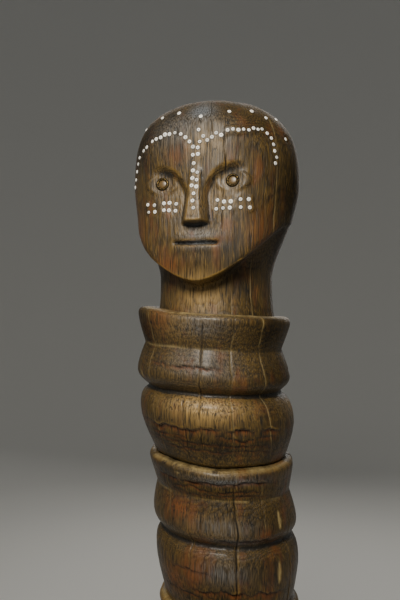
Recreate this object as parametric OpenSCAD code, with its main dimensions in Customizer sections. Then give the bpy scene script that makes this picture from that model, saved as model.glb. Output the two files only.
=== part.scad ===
// Carved ancestor post: one log of dark hardwood with a head, a neck and a stack of
// carved rings, standing on a plain foot. White glass beads and two eye inlays are
// bedded in dark mastic in drilled sockets. Millimetres, +Z up, the face looks along -Y.

/* [Overall] */
// Height of the whole post
post_h = 1400; // [1340:10:1460]
// How far the middle of the crooked log sways towards +X
sway_max = 20; // [0:1:24]

/* [Head] */
// Radius of the head at its widest
head_r = 105; // [102:1:108]
// How squarely the crown is domed: 2 is round, higher is flatter
dome_power = 2.7; // [2.3:0.1:3.2]
// Radius of the flattened front of the head, seen from above
face_r = 170; // [150:5:200]
// Distance from the log's axis to the front of the face
face_front = 95; // [93:0.5:97]
// Depth of the hollow under the brow
brow_cut = 11; // [7:0.5:12]
// Length of the face from the chin to the crown
head_h = 232; // [226:1:240]

/* [Nose and mouth] */
// Width of the nose at the bridge
bridge_w = 16; // [15:0.5:20]
// Width of the nose at its cut base
nose_w = 38; // [32:1:42]
// How far the nose stands in front of the face at its base
nose_out = 11; // [8:0.5:12]
// Length of the mouth slit
mouth_w = 54; // [46:1:60]
// Height of the mouth slit
mouth_gap = 2.6; // [2:0.1:4]

/* [Neck and rings] */
// Radius of the neck
neck_r = 72; // [70:1:74]
// Height of one carved unit, an hourglass over a barrel
unit_h = 176; // [170:1:180]
// Share of a unit that the hourglass takes
hourglass_share = 0.55; // [0.5:0.01:0.6]
// Depth of the grooves below the widest part of a ring
groove_cut = 13; // [10:0.5:15]
// Depth of the waist of an hourglass
waist_cut = 9.5; // [7:0.5:11]
// Sideways slope of the hand-cut rings, in degrees
ring_tilt = 3.4; // [0:0.1:4]
// Radius of the foot where it stands
foot_r = 94; // [90:1:100]

/* [Inlays] */
// Diameter of a bead
bead_d = 4.8; // [4.4:0.1:5]
// Height of a bead
bead_h = 3.2; // [2.8:0.1:3.6]
// Diameter of the hole through a bead
bead_hole = 1.3; // [1:0.1:1.6]
// Depth that a bead sits in the wood
bead_seat = 2; // [1.6:0.1:2.2]
// Thickness of the mastic around and under an inlay
mastic_t = 0.3; // [0.2:0.05:0.4]
// Outer diameter of an eye ring
eye_d = 16; // [14:0.5:17]
// Diameter of the plug inside an eye ring
plug_d = 9.6; // [8:0.2:10.4]

/* [Hidden] */
$fn = 96;

wood = "#5a3a1e";
bead_white = "#f1eee2";
mastic_black = "#241c14";
brass = "#9a8748";
horn = "#b9a565";

// Heights of the head, all from the collar's top edge
dome_h = 105;                        // from the widest level to the crown
jaw_back_h = 72;                     // where the jaw meets the neck at the sides and back
swell_h = 46;                        // where the neck starts to swell into the head
crown_flat_r = 8;
collar_z = post_h - dome_h - 165;
chin_z = post_h - head_h;
wide_z = post_h - dome_h;
jaw_z = collar_z + jaw_back_h;
swell_z = collar_z + swell_h;
eye_z = (post_h + chin_z) / 2;       // the eyes lie half way up the head
brow_z = eye_z + 18;
nose_z = chin_z + head_h * 0.29;
mouth_z = chin_z + head_h * 0.19;
eye_x = head_r * 0.41;               // one eye's width between the eyes
jaw_max = head_r - 8;                // radius that rounds off the sides of the jaw
recess_slope = 5.7;                  // degrees that the cheeks come forward going down

// The flattened face is part of an upright cylinder with its centre behind the axis
face_c = face_r - face_front;
face_pad = 60;                       // how far cutting tools reach past the wood

// The stack of rings
units = 4;
unit_r = [97, 91, 88, 88];           // widest radius of each unit, from the top
core_r = 71;                         // plain log that runs on inside the rings
overlap = 12;
foot_top = collar_z - units * unit_h - 3;
shaft_r = 84;

// Inlays
socket_r = bead_d / 2 + mastic_t;
bead_edge = 0.9;                     // radius of a bead's rounded rim
eye_seat = 3.6;
eye_proud = 1.3;
eye_edge = 1.2;
plug_sink = 0.6;                     // how far the plug lies below the ring's rim

// ---- Shapes of the wood, as formulas ----

function power(base, p) = base <= 0 ? 0 : pow(base, p);

// Radius of the head's round body at height z
function skull_r(z) =
    z > wide_z
    ? head_r * power(1 - power((z - wide_z) / dome_h, dome_power), 1 / dome_power)
    : neck_r + (head_r - neck_r) * power(sin(90 * max(0, (z - swell_z) / (wide_z - swell_z))), 1.5);

function face_y(x) = face_c - sqrt(face_r * face_r - x * x);
function recess_y(z) = -face_front + brow_cut - (brow_z - z) * tan(recess_slope);
function ridge_y(z) = -face_front - nose_out * max(0, (brow_z - z) / (brow_z - nose_z));

// How far the log's middle lies from the Z axis at height z
function sway(z) =
    z >= collar_z ? 0 : sway_max * pow(sin(180 * pow((collar_z - z) / collar_z, 0.85)), 2);

// Half width of the jaw's outline, seen from the front, at height z
function jaw_half(z) = jaw_max * power((z - chin_z) / jaw_back_h, 0.55);

// Radius of an hourglass ring; t runs from its top at 0 to its foot at 1
function hourglass_r(r, t) =
    let (flare = power(abs(2 * t - 1), 1.3), rim = power(1 - power(abs(2 * t - 1), 9), 0.5))
    r - groove_cut + (groove_cut - waist_cut * (1 - flare)) * rim;

// Radius of a barrel ring, fullest above its middle
function barrel_r(r, t) = r - groove_cut + groove_cut * power(sin(180 * pow(t, 0.8)), 0.55);

// ---- Places of the inlays: each is [point, turn about Z, lift above level] ----

function polar(a, r, z) = [r * sin(a), -r * cos(a), z];
function face_reach(a) = -face_c * cos(a) + sqrt(face_r * face_r - pow(face_c * sin(a), 2));

// A place on the head's side or forehead, at angle a from the front
function head_spot(a, z) =
    face_reach(a) < skull_r(z) && abs(a) < 90
    ? let (r = face_reach(a), p = polar(a, r, z)) [p, asin(p[0] / face_r), 0]
    : [polar(a, skull_r(z), z), a, atan((skull_r(z - 1) - skull_r(z + 1)) / 2)];

// A place on the cheeks
function cheek_spot(x, z) =
    recess_y(z) > face_y(x)
    ? [[x, recess_y(z), z], 0, recess_slope]
    : [[x, face_y(x), z], asin(x / face_r), 0];

// A place on the ridge of the nose
function nose_spot(x, z) = [[x, ridge_y(z), z], 0, z < brow_z ? atan(nose_out / (brow_z - nose_z)) : 0];

// Small offsets that keep the hand-set beads from lying in a ruled line
function wobble(n, size, seed) = rands(-size, size, n, seed);

// The hand-set lines of beads round the head: each bead is its angle from the front,
// positive on the left, and its height above the brow
line_brow_left = [
    [3.6, 27.2], [6.2, 33.4], [9, 28.4], [12.3, 31.8], [15.2, 36.4], [18.6, 33.8], [22.9, 39.3],
    [26.4, 40.4], [30, 39.6], [33.7, 40.8], [37.5, 40.6], [41.2, 43.5], [44.7, 42.9], [48.1, 44.1]
];
line_brow_right = [
    [-3.9, 28.2], [-6.9, 33.6], [-10.5, 38.1], [-15, 40.4], [-19.3, 39.6], [-22.9, 39.9],
    [-26.4, 37.4], [-30, 36.4], [-33.6, 34.6], [-39.8, 29.6], [-43.9, 26.6]
];
line_temple_left = [
    [52, 39.9], [55.1, 34.7], [56.4, 27.4], [56.8, 19.6], [58.4, 12.4], [57, 5], [72.5, 39.6]
];
line_temple_right = [[-50.2, 20.6], [-52.4, 13.4], [-54.6, 4.6], [-57.3, -4.8], [-61, -13]];
line_forehead = [[2.8, 41.2], [4.2, 57]];
line_crown = [
    [-95, 62], [-65.2, 63], [-31.3, 64.4], [-14.5, 65.4], [25.1, 63.6], [44.2, 67.5], [56, 61.5],
    [70.7, 64.9], [97, 63], [125, 66], [153, 62.5], [180, 65], [-153, 63.5], [-124, 66]
];
// The beads down the nose: distance to the left of its middle, and height above the brow
line_nose = [
    [-2.2, 21.7], [3.7, 20.4], [-2.3, 12.2], [3.8, 12.8], [-1.2, 2.4], [-1.9, -6.3], [3.5, -8.9],
    [-2.1, -15.5], [3.2, -17.8], [-2.6, -24.3], [3.1, -25.9], [0.3, -34], [-0.6, -42.6], [0.9, -51]
];

function line_spots(line) = [for (place = line) head_spot(place[0], brow_z + place[1])];

function cheek_spots(side, seed) =
    let (xs = [25, 33, 41, 53, 62], dx = wobble(10, 0.9, seed), dz = wobble(10, 1.2, seed + 1))
    [for (i = [0:4], row = [0, 1])
        cheek_spot(side * (xs[i] + dx[2 * i + row]), eye_z - 24 - 9 * row + dz[2 * i + row])];

spots_brow_left = line_spots(line_brow_left);
spots_brow_right = line_spots(line_brow_right);
spots_temple_left = line_spots(line_temple_left);
spots_temple_right = line_spots(line_temple_right);
spots_forehead = line_spots(line_forehead);
spots_nose = [for (place = line_nose) nose_spot(place[0], brow_z + place[1])];
spots_crown = line_spots(line_crown);
spots_cheek_left = cheek_spots(1, 71);
spots_cheek_right = cheek_spots(-1, 81);
all_bead_spots = concat(
    spots_brow_left, spots_brow_right, spots_temple_left, spots_temple_right,
    spots_forehead, spots_nose, spots_crown, spots_cheek_left, spots_cheek_right
);
spot_eye_left = cheek_spot(eye_x, eye_z);
spot_eye_right = cheek_spot(-eye_x, eye_z);

// Stands children on a place, with their +Z pointing out of the wood
module seated(spot) {
    translate(spot[0]) rotate([0, 0, spot[1]]) rotate([90 - spot[2], 0, 0]) children();
}

// An outline of the wood seen from the front, pushed from y_front back to y_back
module front_slab(y_front, y_back) {
    translate([0, y_back, 0]) rotate([90, 0, 0]) linear_extrude(y_back - y_front) children();
}

// ---- The carved log ----

// Head and neck turned about the log's axis
module skull_and_neck() {
    steps = 22;
    low = swell_z + 4;
    side = [for (i = [0:steps]) let (z = low + (wide_z - low) * i / steps) [skull_r(z), z]];
    dome = [for (i = [1:steps - 1]) let (z = wide_z + dome_h * power(sin(90 * i / steps), 0.9))
        [skull_r(z), z]];
    rotate_extrude()
        polygon(concat([[0, collar_z - 40], [neck_r + 2, collar_z - 40], [neck_r, collar_z + 30]],
            side, dome, [[crown_flat_r, post_h], [0, post_h]]));
}

// The mask-like jaw that stands in front of the neck, undercut along a rising line
module jaw() {
    steps = 14;
    top = wide_z - 2;
    rise = [for (i = [0:steps]) let (z = chin_z + (top - chin_z) * pow(i / steps, 2))
        [min(jaw_half(z), jaw_max), z]];
    mirrored = [for (i = [steps:-1:1]) [-rise[i][0], rise[i][1]]];
    intersection() {
        front_slab(-face_front - 5, 12) polygon(concat(rise, mirrored));
        translate([0, face_c, chin_z - 5]) cylinder(r = face_r, h = head_h);
        translate([0, -10, chin_z - 5]) cylinder(r = jaw_max, h = head_h);
        rotate([90, 0, 90]) linear_extrude(3 * head_r, center = true)
            polygon([[-face_front - 10, chin_z - 5], [-neck_r - 4, chin_z - 5], [-neck_r - 2, chin_z + 3],
                [12, jaw_z + 52], [12, top], [-face_front - 10, top]]);
    }
}

// What is cut away to flatten the front of the head
module face_flat() {
    difference() {
        translate([-face_pad * 2, -head_r - face_pad, chin_z + 20])
            cube([face_pad * 4, head_r + face_pad - 30, head_h]);
        translate([0, face_c, chin_z]) cylinder(r = face_r, h = head_h + face_pad);
    }
}

// The nose, standing on the cheeks: wide at its base and cut off level
module nose() {
    intersection() {
        front_slab(-face_front - nose_out - 4, -face_front + 25)
            polygon([[-nose_w / 2, nose_z], [nose_w / 2, nose_z], [bridge_w / 2, brow_z + 6],
                [-bridge_w / 2, brow_z + 6]]);
        rotate([0, -90, 0]) linear_extrude(nose_w + 2, center = true)
            polygon([[nose_z - 1, ridge_y(nose_z)], [brow_z, -face_front], [brow_z + 4, -face_front + 2],
                [brow_z + 4, -60], [nose_z - 1, -60]]);
    }
}

// The hollow of the eyes and cheeks under the brow
module cheek_hollow() {
    arch_r = 46;
    arch_z = brow_z - arch_r + 4;
    low = chin_z - 10;
    translate([0, recess_y(brow_z), brow_z]) rotate([-recess_slope, 0, 0])
        translate([0, -recess_y(brow_z), -brow_z])
            front_slab(-face_front - face_pad, recess_y(brow_z)) {
                for (side = [-1, 1]) translate([side * (arch_r + bridge_w / 2), arch_z]) circle(arch_r);
                translate([-head_r, low]) square([2 * head_r, arch_z - low]);
            }
}

module mouth() {
    translate([0, -face_front, mouth_z]) rotate([90, 0, 0])
        translate([0, 0, -7]) linear_extrude(face_pad) union() {
            square([mouth_w - mouth_gap, mouth_gap], center = true);
            for (side = [-1, 1]) translate([side * (mouth_w - mouth_gap) / 2, 0]) circle(mouth_gap / 2);
        }
}

// One ring, tilted about its own middle; profile lists its radii from top to bottom
module ring(profile, z_top, h) {
    last = len(profile) - 1;
    side = [for (i = [0:last]) [profile[i], h / 2 - h * i / last]];
    low = -h / 2 - overlap;
    translate([sway(z_top - h / 2), 0, z_top - h / 2]) rotate([0, ring_tilt, 0]) rotate_extrude()
        polygon(concat([[0, h / 2 + overlap], [core_r, h / 2 + overlap], [core_r, h / 2]], side,
            [[core_r, -h / 2], [core_r, low], [0, low]]));
}

// One unit of the stack, from its top edge down: an hourglass over a barrel
module ring_unit(r, z_top) {
    steps = 12;
    waist_h = unit_h * hourglass_share;
    ring([for (i = [0:steps]) hourglass_r(r, i / steps)], z_top, waist_h);
    ring([for (i = [0:steps]) barrel_r(r, i / steps)], z_top - waist_h, unit_h - waist_h);
}

// The plain foot leans with the log and is sawn off level
module foot() {
    lean = atan(sway(foot_top) / foot_top);
    difference() {
        rotate([0, lean, 0]) rotate_extrude()
            polygon([[0, -20], [foot_r, -20], [foot_r, 6], [shaft_r + 3, foot_top * 0.4],
                [shaft_r, foot_top - 14], [shaft_r - 6, foot_top], [0, foot_top]]);
        translate([-2 * foot_r, -2 * foot_r, -50]) cube([4 * foot_r, 4 * foot_r, 50]);
    }
}

module carved_post() {
    color(wood) difference() {
        union() {
            difference() {
                union() {
                    skull_and_neck();
                    jaw();
                }
                face_flat();
                cheek_hollow();
            }
            nose();
            for (i = [0:units - 1]) ring_unit(unit_r[i], collar_z - i * unit_h);
            foot();
        }
        mouth();
        for (spot = all_bead_spots)
            seated(spot) translate([0, 0, -bead_seat - mastic_t])
                cylinder(r = socket_r, h = bead_seat + mastic_t + 12);
        for (spot = [spot_eye_left, spot_eye_right])
            seated(spot) translate([0, 0, -eye_seat - mastic_t])
                cylinder(r = eye_d / 2 + mastic_t, h = eye_seat + mastic_t + 12);
    }
}

// ---- The inlays ----

// A drawn glass bead with a rounded rim, standing on z = 0
module bead() {
    r = bead_d / 2;
    rim = [for (a = [0:30:90]) [r - bead_edge + bead_edge * cos(a), bead_h - bead_edge + bead_edge * sin(a)]];
    rotate_extrude()
        polygon(concat([[bead_hole / 2, 0], [r, 0]], rim, [[bead_hole / 2, bead_h - 0.3]]));
}

module beads(spots) {
    color(bead_white) for (spot = spots) seated(spot) translate([0, 0, -bead_seat]) bead();
}

// A cup of mastic that fills the socket round something of radius r
module mastic_cup(r, depth) {
    translate([0, 0, -depth - mastic_t]) difference() {
        cylinder(r = r + mastic_t, h = depth + mastic_t);
        translate([0, 0, mastic_t]) cylinder(r = r, h = depth + 1);
    }
}

module mastic(spots) {
    color(mastic_black) for (spot = spots) seated(spot) mastic_cup(bead_d / 2, bead_seat);
}

module eye_mastic(spot) {
    color(mastic_black) seated(spot) mastic_cup(eye_d / 2, eye_seat);
}

module eye_ring(spot) {
    r = eye_d / 2;
    rise = eye_seat + eye_proud;
    rim = [for (a = [0:30:90]) [r - eye_edge + eye_edge * cos(a), rise - eye_edge + eye_edge * sin(a)]];
    color(brass) seated(spot) translate([0, 0, -eye_seat]) rotate_extrude()
        polygon(concat([[plug_d / 2, 0], [r, 0]], rim, [[plug_d / 2 + 0.6, rise], [plug_d / 2, rise - 0.8]]));
}

module eye_plug(spot) {
    crown = 0.9;
    low = eye_seat + eye_proud - plug_sink - crown;
    r = plug_d / 2;
    dome = [for (a = [0:15:90]) [r * cos(a), low + crown * sin(a)]];
    color(horn) seated(spot) translate([0, 0, -eye_seat]) rotate_extrude()
        polygon(concat([[0, 0], [r, 0]], dome));
}

carved_post();
beads(spots_brow_left);  // brow_beads_left
beads(spots_brow_right);  // brow_beads_right
beads(spots_temple_left);  // temple_beads_left
beads(spots_temple_right);  // temple_beads_right
beads(spots_forehead);  // forehead_beads
beads(spots_nose);  // nose_beads
beads(spots_crown);  // crown_beads
beads(spots_cheek_left);  // cheek_beads_left
beads(spots_cheek_right);  // cheek_beads_right
mastic(spots_brow_left);  // brow_mastic_left
mastic(spots_brow_right);  // brow_mastic_right
mastic(spots_temple_left);  // temple_mastic_left
mastic(spots_temple_right);  // temple_mastic_right
mastic(spots_forehead);  // forehead_mastic
mastic(spots_nose);  // nose_mastic
mastic(spots_crown);  // crown_mastic
mastic(spots_cheek_left);  // cheek_mastic_left
mastic(spots_cheek_right);  // cheek_mastic_right
eye_ring(spot_eye_left);  // eye_ring_left
eye_ring(spot_eye_right);  // eye_ring_right
eye_plug(spot_eye_left);  // eye_plug_left
eye_plug(spot_eye_right);  // eye_plug_right
eye_mastic(spot_eye_left);  // eye_mastic_left
eye_mastic(spot_eye_right);  // eye_mastic_right
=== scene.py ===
import math
from functools import lru_cache

import bmesh
import bpy
from mathutils import Matrix, Vector, kdtree, noise


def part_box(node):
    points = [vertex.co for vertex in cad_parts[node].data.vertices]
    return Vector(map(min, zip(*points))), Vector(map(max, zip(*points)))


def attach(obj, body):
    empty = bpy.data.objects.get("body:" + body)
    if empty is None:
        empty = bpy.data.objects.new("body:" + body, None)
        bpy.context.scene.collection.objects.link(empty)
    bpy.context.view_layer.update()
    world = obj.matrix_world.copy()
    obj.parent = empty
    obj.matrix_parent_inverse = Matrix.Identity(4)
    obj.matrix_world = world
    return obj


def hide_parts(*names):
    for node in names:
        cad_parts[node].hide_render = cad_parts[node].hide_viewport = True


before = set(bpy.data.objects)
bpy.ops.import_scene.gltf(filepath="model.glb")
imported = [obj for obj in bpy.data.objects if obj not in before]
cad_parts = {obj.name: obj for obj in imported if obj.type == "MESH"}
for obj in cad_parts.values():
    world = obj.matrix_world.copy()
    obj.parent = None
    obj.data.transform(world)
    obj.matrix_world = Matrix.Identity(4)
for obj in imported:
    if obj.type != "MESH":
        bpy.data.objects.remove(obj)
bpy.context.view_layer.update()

bl_info = {
    "name": "Carved Ancestor Post",
    "version": (1, 0, 0),
    "blender": (4, 5, 0),
    "location": "3D View > Sidebar > Carved Post",
    "description": "Builds a carved hardwood post with a head, a stack of rings and bead inlays",
    "category": "Object",
}

# The pieces are shaped in millimetres and brought to metres when they are finished.
# An angle round the log is 0 at the face and grows towards +X, the figure's own left.
MM = 0.001
POST_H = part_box("carved_post")[1][2] / MM
COLLAR = POST_H - 270.0   # height of the uppermost ring's rim
ROOT = "root"


# ---- Sizes and colours that a user would change ----


def length(name, about, mm, low, high):
    """A length property given in millimetres."""
    return bpy.props.FloatProperty(
        name=name, description=about, default=mm * MM, min=low * MM, max=high * MM,
        unit="LENGTH", precision=4,
    )


def tint(name, about, code):
    """A colour property given as an sRGB hex value."""
    return bpy.props.FloatVectorProperty(
        name=name, description=about, default=linear(code), min=0.0, max=1.0,
        size=4, subtype="COLOR",
    )


def linear(code):
    """An sRGB hex value such as "5a3a1e" as a linear colour with alpha."""
    parts = [int(code[i : i + 2], 16) / 255 for i in (0, 2, 4)]
    return (*[p / 12.92 if p <= 0.04045 else ((p + 0.055) / 1.055) ** 2.4 for p in parts], 1.0)


class PostHeadSizes(bpy.types.PropertyGroup):
    head_r: length("Head radius", "Radius of the head at its widest", 105, 95, 115)
    head_h: length("Face length", "From the chin to the crown", 232, 220, 240)
    dome_h: length("Dome height", "From the widest level to the crown", 105, 95, 115)
    dome_power: bpy.props.FloatProperty(
        name="Dome squareness", description="2 is round, higher is flatter", default=2.7, min=2, max=4
    )
    face_r: length("Face curve", "Radius of the flattened face, seen from above", 170, 150, 200)
    face_front: length("Face front", "From the log's axis to the face", 95, 90, 100)
    brow_cut: length("Brow hollow", "Depth of the hollow under the brow", 11, 5, 15)
    nose_out: length("Nose height", "How far the nose stands out at its base", 11, 5, 15)
    bridge_w: length("Bridge width", "Width of the nose at the bridge", 16, 12, 24)
    nose_w: length("Nose width", "Width of the nose at its cut base", 38, 30, 46)
    mouth_w: length("Mouth width", "Length of the mouth slit", 54, 40, 64)
    neck_r: length("Neck radius", "Radius of the neck", 72, 65, 80)


class PostStackSizes(bpy.types.PropertyGroup):
    unit_h: length("Unit height", "Height of an hourglass and a barrel ring together", 176, 160, 190)
    ring_tilt: bpy.props.FloatProperty(
        name="Ring slope", description="Sideways slope of the hand-cut rings",
        default=math.radians(3.4), min=0, max=math.radians(5), subtype="ANGLE",
    )
    sway_max: length("Sway", "How far the crooked log sways towards +X", 20, 0, 25)
    foot_r: length("Foot radius", "Radius of the foot where it stands", 94, 85, 100)


class PostBeadSizes(bpy.types.PropertyGroup):
    bead_d: length("Bead diameter", "Diameter of a bead", 4.8, 4, 6)
    bead_h: length("Bead height", "Height of a bead", 3.2, 2.5, 4)
    bead_hole: length("Bead hole", "Diameter of the hole through a bead", 1.3, 0.8, 2)
    bead_seat: length("Bead seat", "Depth that a bead sits in the wood", 2.0, 1.5, 2.5)
    eye_d: length("Eye ring", "Outer diameter of an eye ring", 16, 13, 18)
    plug_d: length("Eye plug", "Diameter of the plug inside an eye ring", 9.6, 8, 11)
    eye_seat: length("Eye seat", "Depth that an eye ring sits in the wood", 3.6, 3, 4)


class PostColours(bpy.types.PropertyGroup):
    heartwood: tint("Heartwood", "Waxed heartwood, the main colour", "4c3a15")
    late_wood: tint("Late wood", "Dark lines of the growth layers", "1a1405")
    # The old polish colour is also laid as painted shade: in the hollows, and on the forehead, chin and
    # sides
    soot: tint("Old polish", "Dark polish and dirt in the hollows", "0c0a05")
    rubbed: tint("Rubbed wood", "Wood rubbed lighter on the edges", "7e6229")
    # Also laid as a painted highlight on the front of the first barrel under the collar
    handled: tint("Handled wood", "Wood worn light and smooth by hands", "ab8a50")
    torn: tint("Torn wood", "Orange wood where flakes have come off", "794316")
    pale: tint("Wax fill", "Pale wax and dust in old cracks", "a8925f")
    # A painted sheen: blue-grey colour laid where the waxed wood shows a highlight
    bloom: tint("Wax bloom", "Blue-grey bloom of the wax", "737c85")
    weathered: tint("Weathered foot", "Grey-brown wood of the planted foot", "5a5142")
    glass: tint("White glass", "Opaque white bead glass", "faf8f1")
    mastic: tint("Mastic", "Resin and soot mastic", "1f1812")
    brass: tint("Old brass", "Brass of the eye rings", "5c4a25")
    horn: tint("Horn", "Pale horn of the eye plugs", "6a5229")
    paper: tint("Studio paper", "Pale paper of the floor", "ecebe6")


# ---- Small maths ----


def smooth_step(low, high, x):
    """0 up to low, 1 from high on, and an S-shaped rise between. High may be the lower one."""
    t = min(1.0, max(0.0, (x - low) / (high - low)))
    return t * t * (3 - 2 * t)


def soft_min(a, b, width):
    """The lower of two heights, with the crease between them rounded over width."""
    near = max(width - abs(a - b), 0.0) / width
    return min(a, b) - near * near * width / 4


def soft_max(a, b, width):
    return -soft_min(-a, -b, width)


def bell(x, width):
    """1 at 0, fading out on both sides over about twice the width."""
    return math.exp(-((x / width) ** 2))


def mix(a, b, t):
    return a + (b - a) * t


def turn_gap(a, b):
    """The angle from b to a, the short way round."""
    return (a - b + math.pi) % (2 * math.pi) - math.pi


def sizes(group):
    """A property group as millimetres; numbers that aren't lengths stay as they are."""
    found = {}
    for name, prop in group.bl_rna.properties.items():
        if prop.type == "FLOAT":
            value = getattr(group, name)
            found[name] = value / MM if prop.unit == "LENGTH" else value
    return found


# ---- Drying cracks ----

# Each crack: angle at its top and bottom in degrees, height of its top and bottom above
# the collar in mm, half width, depth, and how far old wax and dust fill it.
CRACKS = (
    (49, 57, 78, -176, 0.7, 2.0, 0.85), (30, 25, 30, -170, 0.65, 2.0, 0.6),
    (24, 19, -178, -430, 0.7, 3.0, 0.0), (7, 2, -2, -172, 0.5, 2.2, 0.0),
    (-8, -11, -94, -176, 0.45, 2.0, 0.0), (-11, -16, -176, -330, 0.4, 1.6, 0.2),
    (-40, -34, 6, -176, 0.5, 1.6, 0.7), (-36, -32, -186, -250, 0.5, 1.6, 0.6),
    (47, 44, -186, -268, 0.5, 1.8, 0.6), (59, 57, 246, 66, 0.8, 1.8, 0.5),
    (22, 19, 226, 84, 0.5, 1.6, 0.0), (-27, -24, 214, 150, 0.4, 1.2, 0.0),
    (12, 13, 262, 200, 0.4, 1.2, 0.1), (-64, -70, 262, 20, 0.6, 2.0, 0.0),
    (98, 104, 236, -250, 0.9, 3.4, 0.2), (141, 133, 180, -560, 0.9, 3.6, 0.0),
    (178, 186, 262, -330, 1.1, 4.4, 0.1), (-141, -148, 90, -610, 0.8, 3.2, 0.0),
    (-98, -92, 150, -300, 0.7, 2.8, 0.3), (74, 68, -230, -700, 0.8, 3.0, 0.0),
    (-52, -60, -330, -800, 0.8, 3.2, 0.1), (26, 34, -560, -1090, 1.3, 5.6, 0.0),
    (-20, -14, -660, -1130, 1.5, 6.4, 0.0), (112, 118, -640, -1130, 1.4, 6.4, 0.0),
    (-118, -112, -600, -1100, 1.3, 5.6, 0.0), (170, 163, -690, -1130, 1.6, 7.4, 0.0),
    (-74, -76, -760, -1130, 1.2, 5.0, 0.0), (68, 71, -820, -1130, 1.3, 5.6, 0.0),
)
CRACK_R = 92.0       # radius at which crack widths are true
CRACK_TURN = 0.45    # radians round from its top in which a crack is looked for
CRACK_REACH = 11.0   # mm either side in which a crack gathers the mesh's columns
GATHER = 0.72        # how far the nearest columns are pulled in
GATHER_W = 4.2       # mm over which that pull fades


@lru_cache(maxsize=None)
def crack_state(seed, height):
    """Where a crack is at a height, and how open it is there."""
    first, last, top, bottom = CRACKS[seed][:4]
    along = (top - height) / (top - bottom)
    if not 0 < along < 1:
        return None
    # It strays by 3.2 mm over about 46 mm of height, with finer turns on that
    wander = 3.2 * noise.noise((seed * 7.1, 0.0, height / 46))
    wander += 1.1 * noise.noise((seed, 5.0, height / 13))
    wander += 0.35 * noise.noise((seed, 8.0, height / 4))
    open_by = smooth_step(0, 0.1, along) * smooth_step(0, 0.16, 1 - along)
    open_by *= 0.7 + 0.9 * noise.noise((seed * 3.3, 9.0, height / 20))
    return math.radians(mix(first, last, along)) + wander / CRACK_R, min(1.0, max(0.0, open_by))


def follow_cracks(angle, height):
    """Gathers a column towards the cracks beside it. Returns its angle, sink, crack and fill."""
    sink = dark = pale = 0.0
    for seed, crack in enumerate(CRACKS):
        if abs(turn_gap(angle, math.radians(crack[0]))) > CRACK_TURN:
            continue
        state = crack_state(seed, round(height, 1))
        if state is None:
            continue
        centre, open_by = state
        gap = turn_gap(angle, centre) * CRACK_R
        if abs(gap) > CRACK_REACH:
            continue
        pulled = gap * (1 - GATHER * bell(gap, GATHER_W) * min(1.0, 3 * open_by))
        angle += (pulled - gap) / CRACK_R
        half, depth, fill = crack[4:]
        shut = bell(pulled, half * (0.6 + 0.4 * open_by))
        sink += depth * open_by * shut * (1 - 0.7 * fill)
        dark = max(dark, open_by * shut * (1 - fill))
        pale = max(pale, open_by * bell(pulled, half * 0.9) * fill)
    return angle, sink, dark, pale


# ---- The head ----


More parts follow.
